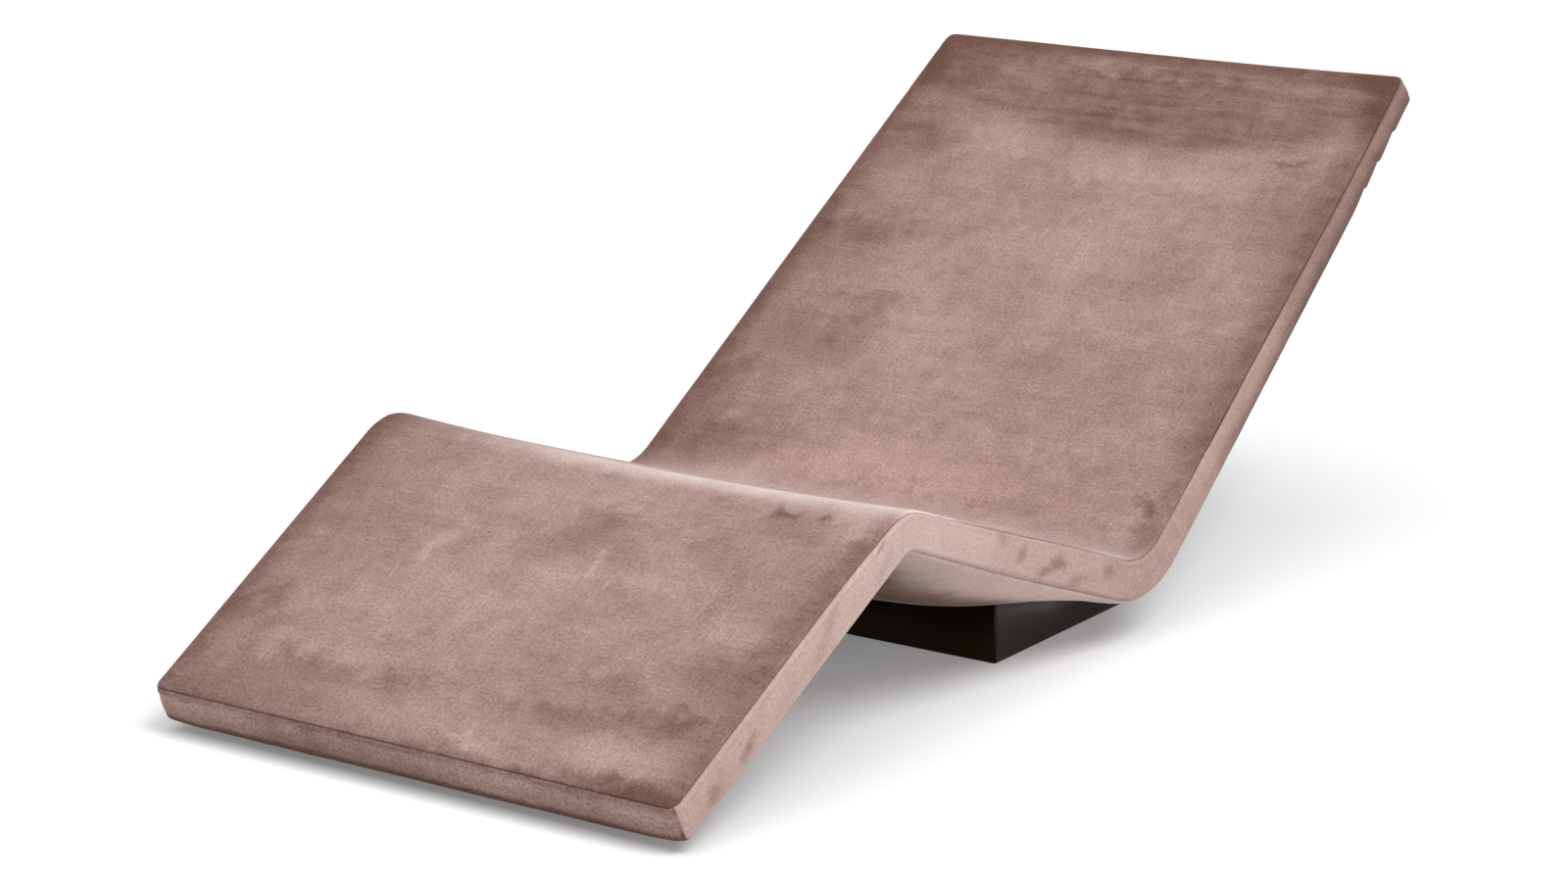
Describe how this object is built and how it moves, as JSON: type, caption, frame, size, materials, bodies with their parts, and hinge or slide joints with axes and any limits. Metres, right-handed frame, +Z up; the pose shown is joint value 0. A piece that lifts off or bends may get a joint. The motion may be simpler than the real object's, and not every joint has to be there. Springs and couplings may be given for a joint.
{
  "type": "chaise longue",
  "caption": "Upholstered chaise longue: a thin padded velvet body bent at the knee and at the seat, on a dark steel plinth with hidden levelling glides.",
  "frame": {"origin": "on the floor under the middle of the object's box", "axes": "+Z up, +Y from the foot end to the head end, +X to the left of the person lying on it"},
  "size_m": [0.789, 1.7152, 0.5964],
  "materials": {
    "velvet": "short dusty pink-brown velvet with a brushed nap",
    "foam": "cut upholstery foam",
    "webbing": "elastic woven belt",
    "frame_steel": "powder coated steel",
    "plinth_lacquer": "satin dark bronze lacquer",
    "zinc": "zinc plated",
    "glide_nylon": "moulded nylon"
  },
  "bodies": {
    "lounger": {"cover_top": "velvet", "cover_side_left": "velvet", "cover_side_right": "velvet", "cover_foot_band": "velvet", "cover_head_band": "velvet", "cover_leg_under": "velvet", "cover_seat_under": "velvet", "cover_back_under": "velvet", "leg_foam": "foam", "seat_foam": "foam", "back_foam": "foam", "leg_under_padding": "foam", "seat_under_padding": "foam", "back_under_padding": "foam", "leg_strap_1": "webbing", "leg_strap_2": "webbing", "leg_strap_3": "webbing", "seat_strap_1": "webbing", "seat_strap_2": "webbing", "seat_strap_3": "webbing", "back_strap_1": "webbing", "back_strap_2": "webbing", "back_strap_3": "webbing", "back_strap_4": "webbing", "back_strap_5": "webbing", "side_rail_left": "frame_steel", "side_rail_right": "frame_steel", "foot_tube": "frame_steel", "knee_tube": "frame_steel", "seat_tube": "frame_steel", "root_tube": "frame_steel", "lumbar_tube": "frame_steel", "shoulder_tube": "frame_steel", "head_tube": "frame_steel", "bearer_left": "frame_steel", "bearer_right": "frame_steel", "plinth_saddle": "frame_steel", "corner_bracket_front_left": "frame_steel", "corner_bracket_front_right": "frame_steel", "corner_bracket_rear_left": "frame_steel", "corner_bracket_rear_right": "frame_steel", "plinth_front": "plinth_lacquer", "plinth_rear": "plinth_lacquer", "plinth_left": "plinth_lacquer", "plinth_right": "plinth_lacquer", "bolt_seat_left": "zinc", "bolt_seat_right": "zinc", "bolt_back_left": "zinc", "bolt_back_right": "zinc"},
    "glide_front_left": {"glide_front_left": "glide_nylon"},
    "glide_front_right": {"glide_front_right": "glide_nylon"},
    "glide_rear_left": {"glide_rear_left": "glide_nylon"},
    "glide_rear_right": {"glide_rear_right": "glide_nylon"}
  },
  "joints": [
    {"name": "glide_front_left_screw", "type": "slide", "parent": "lounger", "child": "glide_front_left", "axis": [0, 0, -1], "range_m": [0, 0.01]},
    {"name": "glide_front_right_screw", "type": "slide", "parent": "lounger", "child": "glide_front_right", "axis": [0, 0, -1], "range_m": [0, 0.01]},
    {"name": "glide_rear_left_screw", "type": "slide", "parent": "lounger", "child": "glide_rear_left", "axis": [0, 0, -1], "range_m": [0, 0.01]},
    {"name": "glide_rear_right_screw", "type": "slide", "parent": "lounger", "child": "glide_rear_right", "axis": [0, 0, -1], "range_m": [0, 0.01]}
  ]
}
